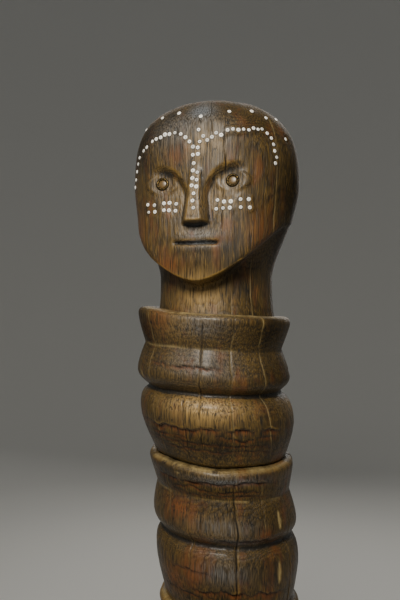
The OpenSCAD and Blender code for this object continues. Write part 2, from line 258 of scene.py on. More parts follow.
class Head:
    """The head's carved surface as a radius for every angle and height above the collar."""

    under = -14.0       # lowest row of the mesh, hidden in the rings
    core = 40.0         # radius at which that row closes inwards
    swell = 46.0        # height at which the neck starts to widen
    jaw_back = 72.0     # rise of the jaw's edge from the chin to the side
    jaw_high = 86.0     # rise at which the edge stays level behind the ear
    row_at_jaw = 62.0   # the row of the mesh that is bent along the jaw's edge
    row_free = 205.0    # rows from here up are level
    slope = math.tan(math.radians(5.7))     # lean of the face below the brow
    arch_r = 46.0                           # radius of the brow's arch
    lid_w, lid_h = 19.0, 10.5               # half width and half height of the eyelids
    features_end = math.radians(62)         # the carved features lie inside this turn
    face_end = math.radians(88)             # the flattened face ends here
    jaw_end = math.radians(120)             # the jaw's edge has died away here

    def __init__(self, size):
        self.__dict__.update(size)
        self.wide = POST_H - self.dome_h - COLLAR
        self.top = POST_H - COLLAR
        self.chin = self.top - self.head_h
        self.eye = (self.top + self.chin) / 2
        self.brow = self.eye + 18
        self.nose_base = self.chin + 0.29 * self.head_h
        self.mouth = self.chin + 0.19 * self.head_h
        self.eye_x = 0.41 * self.head_r
        self.face_c = self.face_r - self.face_front
        self.jaw_r = self.head_r - 8

    def skull(self, h):
        """Radius of the plain round log at a height: neck, head and dome."""
        if h > self.wide:
            part = ((h - self.wide) / self.dome_h) ** self.dome_power
            return self.head_r * max(0.0, 1 - part) ** (1 / self.dome_power)
        t = max(0.0, (h - self.swell) / (self.wide - self.swell))
        flare = 2.0 * max(0.0, 1 - h / 26) ** 2
        return self.neck_r + flare + (self.head_r - self.neck_r) * math.sin(math.pi / 2 * t) ** 1.5

    def face(self, angle):
        """How far the flattened face reaches from the axis."""
        if abs(angle) > self.face_end:
            return 1e3
        side = self.face_c * math.sin(angle)
        return -self.face_c * math.cos(angle) + math.sqrt(self.face_r**2 - side**2)

    def jaw_line(self, angle):
        """Height of the jaw's lower edge: low at the chin, rising to behind the ear."""
        x, y = self.jaw_r * math.sin(angle), -self.jaw_r * math.cos(angle) - 4
        rounded = self.chin + self.jaw_back * (abs(x) / self.jaw_r) ** 1.82
        rising = self.chin + 3 + 0.94 * (y + self.neck_r + 2)
        return min(soft_max(rounded, rising, 8), self.chin + self.jaw_high)

    def bend_row(self, angle, h):
        """Moves a row so that one row of the mesh runs along the jaw's edge."""
        line = self.jaw_line(angle)
        if h < self.row_at_jaw:
            return mix(self.under, line, (h - self.under) / (self.row_at_jaw - self.under))
        if h < self.row_free:
            up = (h - self.row_at_jaw) / (self.row_free - self.row_at_jaw)
            return mix(line, self.row_free, up)
        return h

    def radius(self, angle, h):
        """The carved surface before cracks and beads."""
        r = self.skull(h)
        turned = abs(angle)
        jaw_part = 1 - smooth_step(self.face_end, self.jaw_end, turned)
        if h < self.wide + 4 and jaw_part > 0:
            line = self.jaw_line(angle)
            jaw = 10 * math.cos(angle) + math.sqrt(self.jaw_r**2 - (10 * math.sin(angle)) ** 2)
            above = h - line
            lip = 5.5 * smooth_step(-2, 14, jaw - r)
            if above >= 0:
                grown = soft_max(r, jaw - lip * math.exp(-above / 4.5), 7)
            else:
                grown = r + max(0.0, jaw - lip - r) * math.exp(above / 2.6)
            r = mix(r, grown, jaw_part * smooth_step(self.wide + 4, self.wide - 36, h))
        r = soft_min(r, self.face(angle), 5)
        if turned < self.features_end:
            r = self.features(angle, h, r)
        return r

    def features(self, angle, h, r):
        """Brow hollow, nose, lips and eyelids, worked on the depth of the surface."""
        x, y = r * math.sin(angle), -r * math.cos(angle)
        side = abs(x)
        arch_h = self.brow - self.arch_r + 4
        outer = side - self.arch_r - self.bridge_w / 2
        if outer > 0:
            outer = max(0.0, outer - 1.3 * max(0.0, arch_h + 12 - h))
        inside = self.arch_r
        if outer > 0 or h > arch_h:
            inside -= math.hypot(outer, max(0.0, h - arch_h))
        hollow = -self.face_front + self.brow_cut - (self.brow - h) * self.slope
        cut = soft_max(y, hollow, 2.5)
        y = mix(y, cut, smooth_step(-2, 6 + 0.1 * side, inside))

        up = (h - self.nose_base) / (self.brow - self.nose_base)
        if -0.2 < up < 1.25 and side < self.nose_w:
            half = mix(self.nose_w, self.bridge_w, max(0.0, up)) / 2
            ridge = -self.face_front - self.nose_out * min(1.0, max(0.0, 1 - up))
            ridge += 0.35 * (self.brow - self.nose_base) * max(0.0, up - 1)
            flank = 1.25 * max(0.0, side - 0.42 * half) ** 1.12
            nose = soft_min(y, ridge + flank, 3.0)
            y = mix(y, nose, smooth_step(-1.6, 1.4, h - self.nose_base))

        lift = bell(h - self.mouth - 6.5, 5.0) + 0.9 * bell(h - self.mouth + 7, 5.5)
        y -= 1.7 * lift * bell(side, self.mouth_w * 0.42)
        slit = smooth_step(1.5, -2.5, side - self.mouth_w / 2)
        line = self.mouth + 0.8 * noise.noise((x / 16, 3.0, 0.0))
        y += 5.5 * slit * bell(h - line, 1.5)

        lid = ((side - self.eye_x) / self.lid_w) ** 2 + ((h - self.eye) / self.lid_h) ** 2
        y -= 1.5 * math.exp(-3.0 * (lid - 0.75) ** 2) * smooth_step(2.6, 0.8, lid)
        return -y / math.cos(angle)


# Stains, wear and dirt in the polish, and painted light: a painted sheen, a painted highlight and painted
# shade.
# Each: height above the collar, angle, half height, half width in degrees, strength.
STAINS_AND_PAINTED_LIGHT = {
    # A blue-grey painted sheen where the wax catches the light: on the forehead, down the face, along the
    # ring edges and on the back
    "bloom": (
        (238, 4, 16, 11, 1.0), (216, -8, 24, 26, 0.45), (88, 2, 14, 9, 0.5),
        (-14, 6, 12, 16, 0.5), (-60, 4, 16, 22, 0.4), (-190, 20, 6, 26, 0.8),
        (-248, 14, 9, 24, 0.5), (-263, 24, 4, 20, 0.8), (-298, 12, 12, 18, 0.6),
        (200, 150, 30, 30, 0.5), (-110, -150, 14, 30, 0.5), (-300, 165, 16, 28, 0.5),
    ),
    # Wear by hands; the patch 110 mm under the collar at the front is a painted highlight on the first
    # barrel
    "worn": (
        (136, 4, 24, 18, 0.35), (196, 6, 20, 12, 0.4), (24, 0, 22, 24, 0.75),
        (-16, -12, 16, 18, 0.3), (-62, -4, 14, 28, 0.12), (-110, 6, 17, 30, 1.0),
        (-250, 0, 12, 26, 0.25), (-292, -4, 12, 26, 0.12), (190, 165, 50, 36, 0.5),
        (-112, 178, 18, 34, 0.7), (-290, -150, 18, 34, 0.6), (-112, 96, 16, 24, 0.5),
        (-466, 10, 18, 34, 0.6), (-640, 16, 18, 34, 0.5),
    ),
    # Dirt together with painted shade: darker on the forehead, the chin, both sides and the back
    "murk": (
        (234, 4, 28, 50, 0.6), (-60, 4, 16, 30, 0.35), (-44, -62, 22, 14, 0.5),
        (-296, 0, 22, 50, 0.3), (-250, 0, 16, 40, 0.25), (52, 2, 20, 40, 0.6),
        (190, -30, 20, 22, 0.35), (190, 36, 20, 22, 0.35), (-118, -44, 16, 14, 0.3),
        (-120, 62, 20, 16, 0.25), (-26, -50, 24, 18, 0.75), (-224, 6, 16, 30, 0.4),
        (214, -44, 30, 20, 0.6), (222, 46, 30, 22, 0.55), (150, 76, 66, 20, 0.8),
        (64, 2, 20, 16, 0.35), (170, 30, 16, 12, 0.3), (-16, -66, 26, 22, 0.6),
        (-20, 60, 26, 24, 0.65), (-66, -74, 24, 20, 0.5), (-70, 70, 24, 20, 0.5),
        (-204, 10, 14, 50, 0.45), (-150, 0, 14, 60, 0.4), (-330, 0, 18, 60, 0.4),
        (-250, 50, 22, 16, 0.4), (-56, 140, 30, 30, 0.5), (60, -160, 50, 30, 0.5),
        (150, 130, 40, 24, 0.4), (-380, 40, 20, 50, 0.4), (-420, -120, 40, 40, 0.5),
        (-520, 60, 30, 40, 0.5), (-560, 180, 60, 40, 0.5),
    ),
    "torn": (
        (186, -14, 10, 7, 0.5), (100, -52, 26, 12, 0.55), (96, 46, 24, 10, 0.5),
        (56, -20, 12, 12, 0.6), (-10, -28, 16, 10, 0.5), (-235, -22, 12, 13, 0.8),
        (-256, 46, 6, 6, 0.8), (-300, -14, 16, 10, 0.75), (-318, -32, 18, 12, 0.6),
        (150, 120, 30, 20, 0.45), (-240, 170, 18, 24, 0.6), (-60, -110, 20, 22, 0.5),
        (-420, 30, 24, 24, 0.6),
    ),
}


def stain_and_painted_light(kind, angle, height):
    """How strongly one kind of mark shows here, stain and painted light alike."""
    most = 0.0
    for at, middle, half_h, half_w, strength in STAINS_AND_PAINTED_LIGHT[kind]:
        if abs(height - at) < 2 * half_h:
            round_it = bell(turn_gap(angle, math.radians(middle)), math.radians(half_w))
            most = max(most, strength * round_it * bell(height - at, half_h))
    return most


def hand_cut(angle, height, seed):
    """Unevenness of hand carving: long shallow facets and low swells, in mm."""
    x, y = math.sin(angle), -math.cos(angle)
    swell = noise.noise((x * 2.2 + seed, y * 2.2, height / 90))
    facet = noise.noise((x * 6 + seed, y * 6, height / 55))
    fine = noise.noise((x * 26, y * 26 + seed, height / 46))
    return 0.9 * swell + 0.55 * facet + 0.22 * fine


# ---- The stack of rings ----

# One unit from its top edge down: drop below the edge, and how far inside the widest radius.
UNIT_PROFILE = (
    (0, 18), (0.3, 9), (1.1, 5), (2.6, 2.4), (5, 0.8), (8, 0.2), (12, 0.7), (20, 3.0), (30, 6.4),
    (40, 9.9), (41.6, 10.3), (43.2, 9.5), (52, 6.2), (62, 2.9), (70, 0.7), (76, 0), (81, 1.1), (86, 4.4),
    (90.5, 9.6), (93.5, 13.2), (95.5, 13.7), (97.5, 11.8), (101, 6.8), (107, 2.9), (115, 0.7), (123, 0),
    (133, 0.5), (146, 3.8), (158, 8.2), (168, 12.2), (174, 14.8), (176, 15.6),
)
UNIT_R = (98.0, 91.6, 88.4, 88.4)      # widest radius of each unit, from the top
UNIT_DEPTH = (1.0, 0.74, 0.78, 0.82)   # how deep its hollows are against the profile

# Where the hand-cut rings stray from a true turning. Each: drop below the collar, how far
# up and down it reaches, change in height, change in radius, angle, half its span round.
STRAYS = (
    (2, 16, -5.0, 0.0, -78, 44), (181, 13, 5.0, 0.8, 8, 52), (235, 16, -2.5, 0.0, 12, 60),
    (256, 18, 0.0, -1.4, 0, 120), (309, 30, 0.0, -2.2, 0, 140), (357, 14, 4.0, 0.5, -18, 56),
    (76, 22, 2.5, 0.8, -140, 50), (190, 20, -4.0, 0.4, 160, 60), (430, 22, -3.0, -0.8, 70, 60),
    (533, 14, 4.0, 0.5, 36, 60), (545, 18, -4.0, 0.0, -150, 60),
)

# Flakes lost along the grain. Each: drop below the collar, how much the broken edge
# wanders, depth of the step, how far the scar runs down, angle of its middle, half its span.
FLAKES = (
    (133, 6, 3.2, 17, 6, 70), (142, 5, 1.6, 12, 38, 28), (144, 4, 1.2, 8, -26, 26),
    (151, 2.5, 0.8, 6, 2, 64), (158, 2.5, 0.7, 6, 12, 54), (193, 5, 2.4, 12, 22, 34),
    (196, 4, 2.6, 14, -22, 24), (205, 3, 1.0, 8, 4, 46), (211, 2.5, 0.7, 5, 10, 50),
    (262, 4, 1.8, 10, 30, 26), (300, 6, 1.4, 14, -18, 24), (322, 6, 2.4, 18, 24, 44),
    (330, 3, 0.8, 7, -6, 50), (138, 8, 2.2, 18, 150, 55), (146, 6, 1.8, 16, -110, 45),
    (62, 5, 1.4, 10, -8, 34), (64, 6, 1.6, 12, 128, 40), (322, 8, 2.0, 20, -130, 50),
    (316, 7, 1.7, 16, 120, 34), (498, 8, 2.4, 20, 20, 60), (494, 7, 2.0, 16, -150, 40),
    (672, 8, 2.4, 20, -40, 60), (668, 7, 2.2, 20, 110, 50), (372, 4, 1.6, 12, 0, 50),
    (420, 5, 1.4, 10, 40, 30), (550, 4, 1.6, 12, 70, 50),
)

# Chips knocked off along the grain: drop below the collar, angle, half height, half width, depth.
CHIPS = (
    (243, 61, 13, 3.4, 2.6), (302, 58, 15, 3.8, 3.0), (80, -52, 7, 5.0, 1.8),
    (187, -21, 3, 5.0, 1.4), (432, 24, 14, 4.0, 2.6), (262, -120, 12, 5.0, 2.4),
    (615, -70, 16, 5.0, 3.0), (78, 150, 8, 8.0, 2.6),
)


def sway(z, most):
    """How far the middle of the crooked log lies from the Z axis at height z."""
    if z >= COLLAR:
        return 0.0
    return most * math.sin(math.pi * ((COLLAR - z) / COLLAR) ** 0.85) ** 2


def stack_profile(first, last, unit_h, step):
    """Points down the side of units first to last, evenly spaced along the surface."""
    corners = []
    for unit in range(first, last):
        radius, depth = UNIT_R[unit], UNIT_DEPTH[unit]
        for drop, inside in UNIT_PROFILE[:-1] if unit + 1 < last else UNIT_PROFILE:
            corners.append(Vector((radius - inside * depth, -(unit * unit_h + drop))))
    points = [corners[0]]
    for start, end in zip(corners, corners[1:]):
        pieces = max(1, round((end - start).length / step))
        points += [start.lerp(end, (i + 1) / pieces) for i in range(pieces)]
    inner = [(a + 3 * b + c) / 5 for a, b, c in zip(points, points[1:], points[2:])]
    return [points[0], *inner, points[-1]]


def straying(angle, drop):
    """How far the hand-cut rings rise and swell here, against a true turning."""
    rise = swell = 0.0
    for at, reach, up, out, middle, span in STRAYS:
        if abs(drop - at) < 2.2 * reach:
            round_it = bell(turn_gap(angle, math.radians(middle)), math.radians(span))
            part = bell(drop - at, reach) * round_it
            rise += up * part
            swell += out * part
    return rise, swell


def lean(drop):
    """The upper rings stand a little to the figure's right of the neck."""
    return -5.0 * bell(drop - 72, 78)


def flaking(angle, drop):
    """Sink, dark edge and torn wood where flakes have come off along the grain."""
    sink = torn = dark = 0.0
    for seed, (at, wander, step, run, middle, span) in enumerate(FLAKES):
        if abs(drop - at) > run * 1.6 + wander:
            continue
        middle, span = math.radians(middle), math.radians(span)
        gap = turn_gap(angle, middle)
        if abs(gap) > span:
            continue
        along = middle + gap
        below = drop - at
        for i, (share, per_turn) in enumerate(((1.0, 2.6), (0.6, 8), (0.3, 24)), 1):
            below -= share * wander * noise.noise((along * per_turn, seed * 4.0, float(i)))
        part = smooth_step(0, 0.4, 1 - abs(gap) / span)
        part *= 0.65 + 1.1 * noise.noise((along * 4.5, seed, 6.0))
        part = min(1.0, max(0.0, part))
        if below > 0:
            sink += step * part * smooth_step(0, 1.4, below) * smooth_step(run, 0, below)
            torn = max(torn, part * smooth_step(0.4, 1.6, below) * smooth_step(run * 0.6, 1, below))
        else:
            sink -= 0.1 * step * part * bell(below, 3.0)
        dark = max(dark, part * bell(below - 0.8, 1.15))
    return sink, dark, torn


def chipping(angle, drop):
    """Sink and pale bare wood where chips have been knocked off."""
    sink = 0.0
    for at, middle, half_h, half_w, depth in CHIPS:
        if abs(drop - at) > half_h:
            continue
        across = abs(turn_gap(angle, math.radians(middle))) * CRACK_R / half_w
        if across < 1:
            along = abs(drop - at) / half_h
            sink = max(sink, depth * max(0.0, 1 - along**1.5 - across**2))
    return sink


# Pale dust and wax held on the rims and waists. Each: drop below the collar, half height,
# angle of its middle, half its span, strength.
DUST = (
    (0.4, 1.3, 20, 110, 0.8), (41, 1.1, -26, 34, 0.75), (42, 0.9, 30, 30, 0.35),
    (177.4, 1.7, 4, 80, 0.72), (218, 1.1, 34, 34, 0.7), (217, 1.1, -46, 16, 0.5),
    (353, 1.6, -30, 70, 0.7), (394, 1.0, 20, 40, 0.5), (529.5, 1.6, 20, 80, 0.6),
    (1, 1.6, 170, 60, 0.5), (177.4, 1.6, 170, 50, 0.5), (41, 1.0, 140, 40, 0.5),
    (218, 1.0, -150, 40, 0.5),
)


def dusting(angle, drop):
    """How much pale dust lies on a rim or waist here, patchy along its length."""
    most = 0.0
    for at, half_h, middle, span, strength in DUST:
        if abs(drop - at) < 3 * half_h:
            gap = turn_gap(angle, math.radians(middle))
            along = math.radians(middle) + gap
            patchy = 0.75 + 0.9 * noise.noise((along * 5, at, 7.0))
            patchy += 0.5 * noise.noise((along * 26, at, 2.0))
            part = strength * bell(gap, math.radians(span)) * bell(drop - at, half_h)
            most = max(most, part * patchy)
    return min(1.0, most)


# ---- Making and finishing meshes ----

# What each point of the wood's skin is marked with, from 0 to 1, for its colour and gloss.
MARKS = ("crack", "wax_fill", "torn", "bloom", "worn", "murk")


def mark_layers(bm):
    return {name: bm.verts.layers.float.new(name) for name in MARKS}


def spin_line(bm, points, columns, ring=False):
    """Spins a line of points once round the Z axis and returns the new vertices. A ring's line
    is joined end to end; any other line starts on the axis, and its poles are closed."""
    known = set(bm.verts)
    line = [bm.verts.new(point) for point in points]
    edges = [bm.edges.new(pair) for pair in zip(line, line[1:] + line[:ring])]
    bmesh.ops.spin(
        bm, geom=line + edges, cent=(0, 0, 0), axis=(0, 0, 1), dvec=(0, 0, 0),
        angle=2 * math.pi, steps=columns, use_merge=True, use_duplicate=False,
    )
    if not ring:
        bmesh.ops.remove_doubles(bm, verts=bm.verts, dist=1e-4)
    return [v for v in bm.verts if v not in known]


def spin_log(outline, columns):
    """Spins (radius, height) points from the front of the log into a closed skin."""
    bm = bmesh.new()
    spin_line(bm, [(0.0, -r, z) for r, z in outline], columns)
    bmesh.ops.recalc_face_normals(bm, faces=bm.faces)
    return bm


def mark_edges(bm):
    """Stores on each vertex how far it stands out, above 0, or lies in a hollow, below 0."""
    layer = bm.verts.layers.float.new("stands_out")
    bm.normal_update()
    found = []
    for v in bm.verts:
        middle = Vector()
        for e in v.link_edges:
            middle += e.other_vert(v).co - v.co
        found.append(-middle.dot(v.normal))
    bm.verts.index_update()
    for _ in range(2):
        found = [
            (2 * found[v.index] + sum(found[e.other_vert(v).index] for e in v.link_edges))
            / (2 + len(v.link_edges))
            for v in bm.verts
        ]
    for v, value in zip(bm.verts, found):
        v[layer] = value


def add_object(bm, name, material):
    """Turns a mesh's faces outwards, smooths them and puts it in the scene."""
    bmesh.ops.recalc_face_normals(bm, faces=bm.faces)
    for face in bm.faces:
        face.smooth = True
    mesh = bpy.data.meshes.new(name)
    bm.to_mesh(mesh)
    bm.free()
    mesh.materials.append(material)
    made = bpy.data.objects.new(name, mesh)
    bpy.context.scene.collection.objects.link(made)
    return made


def add_piece(bm, name, material, stands_for):
    """Brings a mesh to metres and fixes it to the post in place of a CAD node."""
    bmesh.ops.scale(bm, vec=(MM, MM, MM), verts=bm.verts)
    piece = add_object(bm, name, material)
    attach(piece, ROOT)
    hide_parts(stands_for)


def stand_on(bm, verts, place):
    """Stands new vertices, made round the Z axis, on a place in the wood."""
    point, out = place
    turn = out.to_track_quat("Z", "Y").to_matrix().to_4x4()
    bmesh.ops.transform(bm, matrix=Matrix.Translation(point) @ turn, verts=verts)


def inlay_places(node, seat):
    """Where the solids of a CAD node sit: each place is its point on the wood and its way out."""
    bm = bmesh.new()
    bm.from_mesh(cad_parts[node].data)
    bmesh.ops.scale(bm, vec=(1 / MM, 1 / MM, 1 / MM), verts=bm.verts)
    bmesh.ops.remove_doubles(bm, verts=bm.verts, dist=1e-3)
    bm.normal_update()
    places = []
    left = set(bm.faces)
    while left:
        island, edge = [], [left.pop()]
        while edge:
            face = edge.pop()
            island.append(face)
            for other in {f for e in face.edges for f in e.link_faces} & left:
                left.remove(other)
                edge.append(other)
        flat = {}
        for face in island:
            facing = tuple(round(c, 2) for c in face.normal)
            flat[facing] = flat.get(facing, 0.0) + face.calc_area()
        out = -Vector(max(flat, key=flat.get)).normalized()
        corners = [v.co for f in island for v in f.verts]
        across = out.orthogonal().normalized()
        up = out.cross(across)
        middle = Vector()
        for way in (across, up):   # the middle of the solid, seen along its way out
            reach = [c.dot(way) for c in corners]
            middle += way * (min(reach) + max(reach)) / 2
        middle += out * (min(c.dot(out) for c in corners) + seat)
        places.append((middle, out))
    bm.free()
    return sorted(places, key=lambda p: tuple(p[0]))


BEAD_NODES = (
    "brow_beads_left", "brow_beads_right", "temple_beads_left", "temple_beads_right",
    "forehead_beads", "nose_beads", "crown_beads", "cheek_beads_left", "cheek_beads_right",
)
EYE_SIDES = ("left", "right")


# ---- Materials ----


def add_node(tree, kind, settings=None, inputs=None, stops=None):
    """Adds a node with its settings, its values or links, and a ramp's stops."""
    made = tree.nodes.new(kind)
    for name, value in (settings or {}).items():
        setattr(made, name, value)
    for name, value in (inputs or {}).items():
        if isinstance(value, bpy.types.NodeSocket):
            tree.links.new(value, made.inputs[name])
        else:
            made.inputs[name].default_value = value
    if stops:
        ramp = made.color_ramp
        while len(ramp.elements) < len(stops):
            ramp.elements.new(1.0)
        for element, (position, value) in zip(ramp.elements, stops):
            element.position = position
            element.color = value if isinstance(value, tuple) else (value, value, value, 1.0)
    return made


def new_material(name):
    material = bpy.data.materials.new(name)
    material.use_nodes = True
    tree = material.node_tree
    tree.nodes.clear()
    shader = add_node(tree, "ShaderNodeBsdfPrincipled")
    add_node(tree, "ShaderNodeOutputMaterial", inputs={"Surface": shader.outputs[0]})
    return material, tree, shader


GROWTH_LAYER = 0.0019       # metres between two dark lines of late wood
HAIRLINE = (0.018, 0.004)   # how near its level line a hairline check begins and is full
FOOT_WEAR = 0.6             # how far the planted foot has lost its wax


def hardwood_material(colours, weathered=0.0):
    """Dense tropical hardwood, carved with an adze and knife, then oiled and waxed for years.
    Long fibres, dark lines of late wood, hairline checks, dark polish and painted shade in the hollows, a
    soft sheen, and a painted sheen, highlight and shade laid in patches."""
    material, tree, shader = new_material("weathered_hardwood" if weathered else "waxed_hardwood")
    where = add_node(tree, "ShaderNodeTexCoord").outputs["Object"]

    # The fibres wander about 4 mm off the vertical over 100 to 200 mm
    drift_at = add_node(tree, "ShaderNodeMapping", inputs={"Vector": where, "Scale": (14, 14, 7)})
    drift = add_node(tree, "ShaderNodeTexNoise", inputs={
        "Vector": drift_at.outputs[0], "Scale": 1.0, "Detail": 2.0})
    along = add_node(tree, "ShaderNodeVectorMath", {"operation": "MULTIPLY_ADD"},
                     {0: drift.outputs["Color"], 1: (0.016, 0.016, 0.0), 2: where}).outputs[0]

    # Each pattern: what it follows, how many to a metre across and up the log, its detail and
    # roughness. Real vessels, 0.3 mm wide, are too fine to show, so the streaks are drawn
    # 2 mm by 45 mm with finer ones of 0.8 mm by 17 mm between. Checks are 5 mm apart and
    # 150 mm long. Patches of polish are 40 to 90 mm across and warm ones 20 mm.
    patterns = {
        "streak": (along, (500, 500, 22), 5.0, 0.62),
        "fine": (along, (1250, 1250, 60), 3.0, 0.6),
        "bent": (where, (20, 20, 7), 3.0, 0.5),
        "check": (along, (210, 210, 6), 1.0, 0.5),
        "patch": (where, (17, 17, 10), 6.0, 0.66),
        "warm": (along, (48, 48, 16), 4.0, 0.6),
    }
    value = {}
    for name, (follows, scale, detail, roughness) in patterns.items():
        at = add_node(tree, "ShaderNodeMapping", inputs={"Vector": follows, "Scale": scale})
        made = add_node(tree, "ShaderNodeTexNoise", inputs={
            "Vector": at.outputs[0], "Scale": 1.0, "Detail": detail, "Roughness": roughness})
        value[name] = made.outputs[0]
    for mark in ("stands_out", *MARKS):
        value[mark] = add_node(tree, "ShaderNodeAttribute", {"attribute_name": mark}).outputs["Fac"]

    # Growth layers about 1.9 mm thick round the pith. Where a carved slope crosses them they
    # show as level wavy lines, and where the surface runs along them as long tongues.
    flat = add_node(tree, "ShaderNodeVectorMath", {"operation": "MULTIPLY"}, {0: where, 1: (1, 1, 0)})
    from_pith = add_node(tree, "ShaderNodeVectorMath", {"operation": "LENGTH"}, {0: flat.outputs[0]})
    layer = add_node(tree, "ShaderNodeMath", {"operation": "MULTIPLY_ADD"},
                     {0: value["bent"], 1: 0.01, 2: from_pith.outputs["Value"]})
    phase = add_node(tree, "ShaderNodeMath", {"operation": "MULTIPLY"},
                     {0: layer.outputs[0], 1: 1 / GROWTH_LAYER})
    saw = add_node(tree, "ShaderNodeMath", {"operation": "FRACT"}, {0: phase.outputs[0]})
    late = ((0.0, 1.0), (0.16, 0.5), (0.45, 0.0), (0.8, 0.25), (1.0, 1.0))
    ramp = add_node(tree, "ShaderNodeValToRGB", inputs={0: saw.outputs[0]}, stops=late)
    value["late"] = ramp.outputs[0]

    # Hairline checks: the thin level lines of the check pattern
    above = add_node(tree, "ShaderNodeMath", {"operation": "SUBTRACT"}, {0: value["check"], 1: 0.5})
    off = add_node(tree, "ShaderNodeMath", {"operation": "ABSOLUTE"}, {0: above.outputs[0]})
    value["off"] = off.outputs[0]

    # Colours laid over the heartwood in turn. Each: the colour, how strong it is at most, and
    # the patterns that carry it, some between the values at which they begin and are full.
    coats = (
        ("late_wood", 0.72, ("streak", 0.56, 0.36)),
        ("rubbed", 0.7, ("fine", 0.48, 0.66)),
        ("soot", 0.6, ("fine", 0.5, 0.34)),
        ("late_wood", 0.68, ("late",), ("warm", 0.35, 0.6)),
        ("torn", 0.42, ("warm", 0.52, 0.7)),
        ("soot", 0.6, ("patch", 0.5, 0.66)),
        # Dirt and painted shade
        ("soot", 0.95, ("murk",), ("fine", 0.95, 0.35)),
        # Hand wear, and a painted highlight on the front of the first barrel
        ("handled", 0.9, ("worn",), ("streak", 0.34, 0.56)),
        ("rubbed", 0.75, ("stands_out", 0.2, 0.9), ("warm", 0.36, 0.58)),
        # Dark polish and painted shade in the hollows
        ("soot", 0.9, ("stands_out", -0.1, -0.8)),
        ("torn", 1.0, ("torn",), ("streak", 0.36, 0.56)),
        # Painted blue-grey sheen
        ("bloom", 0.75, ("bloom",), ("fine", 0.36, 0.6)),
        ("soot", 0.85, ("off", *HAIRLINE), ("patch", 0.42, 0.56)),
        ("pale", 0.9, ("wax_fill",), ("warm", 0.38, 0.5)),
        ("soot", 1.0, ("crack",)),
    )
    base = tuple(colours.weathered if weathered else colours.heartwood)
    for colour, most, *carriers in coats:
        amount = most
        for name, *ends in carriers:
            part = value[name]
            if ends:
                part = add_node(tree, "ShaderNodeMapRange", {"interpolation_type": "SMOOTHSTEP"},
                                {0: part, 1: ends[0], 2: ends[1], 3: 0.0, 4: 1.0}).outputs[0]
            amount = add_node(tree, "ShaderNodeMath", {"operation": "MULTIPLY"},
                              {0: part, 1: amount}).outputs[0]
        base = add_node(tree, "ShaderNodeMix", {"data_type": "RGBA"},
                        {0: amount, 6: base, 7: tuple(getattr(colours, colour))}).outputs[2]
    tree.links.new(base, shader.inputs["Base Color"])

    # Wax leaves a satin: about 0.42 to 0.64 rough, duller in pores, cracks and torn wood
    bare = 0.3 * weathered
    dull = add_node(tree, "ShaderNodeMapRange", inputs={
        0: value["streak"], 1: 0.66, 2: 0.34, 3: 0.42 + bare, 4: 0.64 + bare}).outputs[0]
    for name, more in (("torn", 0.22), ("wax_fill", 0.2), ("murk", 0.2), ("crack", 0.4)):
        dull = add_node(tree, "ShaderNodeMath", {"operation": "MULTIPLY_ADD", "use_clamp": True},
                        {0: value[name], 1: more, 2: dull}).outputs[0]
    tree.links.new(dull, shader.inputs["Roughness"])
    shader.inputs["IOR"].default_value = 1.5
    # Where dirt and painted shade are laid, the wax coat thins and the surface reflects less
    thinned = (("Coat Weight", 0.2 * (1 - weathered), 0.02), ("Specular IOR Level", 0.5, 0.16))
    for socket, clean, dirty in thinned:
        shine = add_node(tree, "ShaderNodeMapRange", inputs={
            0: value["murk"], 1: 0.0, 2: 0.75, 3: clean, 4: dirty})
        tree.links.new(shine.outputs[0], shader.inputs[socket])
    shader.inputs["Coat Roughness"].default_value = 0.27
    shader.inputs["Coat IOR"].default_value = 1.45

    # Checks, late wood and vessels are cut 0.9 mm deep at most, and fine pores 0.4 mm
    hair = add_node(tree, "ShaderNodeMapRange", inputs={
        0: value["off"], 1: HAIRLINE[0], 2: HAIRLINE[1], 3: 0.0, 4: 1.0})
    grooves = value["streak"]
    for groove, depth in ((value["late"], -0.32), (hair.outputs[0], -0.4)):
        grooves = add_node(tree, "ShaderNodeMath", {"operation": "MULTIPLY_ADD"},
                           {0: groove, 1: depth, 2: grooves}).outputs[0]
    rough = add_node(tree, "ShaderNodeBump", inputs={
        "Strength": 0.8, "Distance": 0.0009, "Height": grooves})
    pores = add_node(tree, "ShaderNodeBump", inputs={
        "Strength": 0.5, "Distance": 0.0004, "Height": value["fine"], "Normal": rough.outputs[0]})
    tree.links.new(pores.outputs[0], shader.inputs["Normal"])
    return material


def weathered_hardwood_material(colours):
    """The same wood where it stood in the ground: greyer, with little wax left."""
    return hardwood_material(colours, FOOT_WEAR)


def bead_glass_material(colours):
    """Opaque white glass drawn into a tube and cut: glossy, with worn rims, some dirt, and painted shade
    down the hole.
    """
    material, tree, shader = new_material("drawn_white_glass")
    where = add_node(tree, "ShaderNodeTexCoord").outputs["Object"]
    # Each bead differs a little from its neighbour, so the pattern is about 6 mm across
    cloud = add_node(tree, "ShaderNodeTexNoise", inputs={
        "Vector": where, "Scale": 160.0, "Detail": 3.0}).outputs[0]
    film = add_node(tree, "ShaderNodeMapRange", inputs={
        0: cloud, 1: 0.5, 2: 0.75, 3: 0.0, 4: 0.35}).outputs[0]
    grime = add_node(tree, "ShaderNodeAttribute", {"attribute_name": "grime"}).outputs["Fac"]
    base = tuple(colours.glass)
    for amount, colour in ((film, colours.pale), (grime, colours.mastic)):
        base = add_node(tree, "ShaderNodeMix", {"data_type": "RGBA"},
                        {0: amount, 6: base, 7: tuple(colour)}).outputs[2]
    tree.links.new(base, shader.inputs["Base Color"])
    worn = add_node(tree, "ShaderNodeMapRange", inputs={0: cloud, 1: 0.3, 2: 0.7, 3: 0.22, 4: 0.5})
    tree.links.new(worn.outputs[0], shader.inputs["Roughness"])
    shader.inputs["IOR"].default_value = 1.52
    return material


